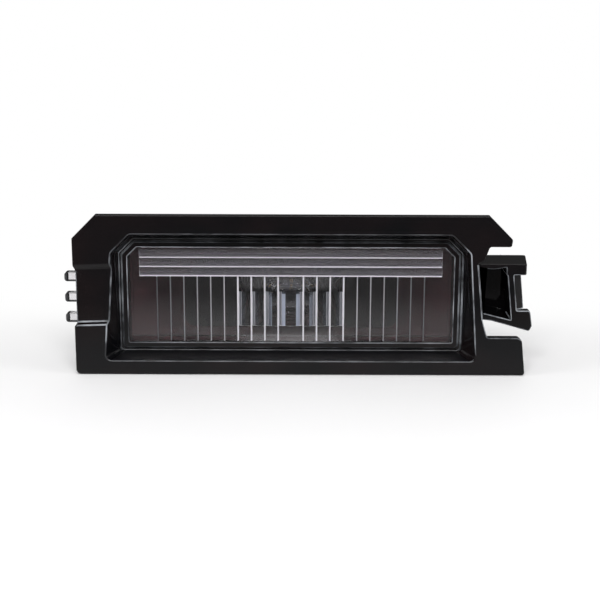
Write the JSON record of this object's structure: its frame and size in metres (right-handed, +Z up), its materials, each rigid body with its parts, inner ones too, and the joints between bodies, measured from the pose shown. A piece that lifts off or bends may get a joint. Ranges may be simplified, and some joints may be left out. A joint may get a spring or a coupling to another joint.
{
  "type": "number plate lamp",
  "caption": "Oblong clip-in number plate lamp: glossy black frame with a stepped recess, clear fluted lens, tapered rear housing and a twist-in bulb holder with a plug socket.",
  "frame": {"origin": "on the back face of the front frame's rim, where it seats on the car's panel, level with half the frame's height and on the lens's upright centre line", "axes": "+Y out of the seat into the car, so the lens faces -Y; +X to the right as one faces the lens, towards the spring clip; +Z up"},
  "size_m": [0.0886, 0.0469, 0.0304],
  "materials": {
    "frame_black": "moulded glossy black",
    "lens_clear": "clear moulded plastic, polished",
    "housing_black": "moulded black, finely grained",
    "holder_grey": "moulded dark grey, fine grain",
    "seal_rubber": "matt rubber",
    "contact_brass": "stamped, tin-dulled brass",
    "bulb_clear": "clear blown glass",
    "wire_steel": "drawn nickel-plated wire",
    "filament_grey": "coiled tungsten wire"
  },
  "bodies": {
    "root": {"front_frame": "frame_black", "lens": "lens_clear", "rear_housing": "housing_black", "bulb_holder": "holder_grey", "holder_seal": "seal_rubber", "contact_left": "contact_brass", "contact_right": "contact_brass", "bulb_glass": "bulb_clear", "filament": "filament_grey", "support_wire_left": "wire_steel", "support_wire_right": "wire_steel"}
  },
  "joints": []
}
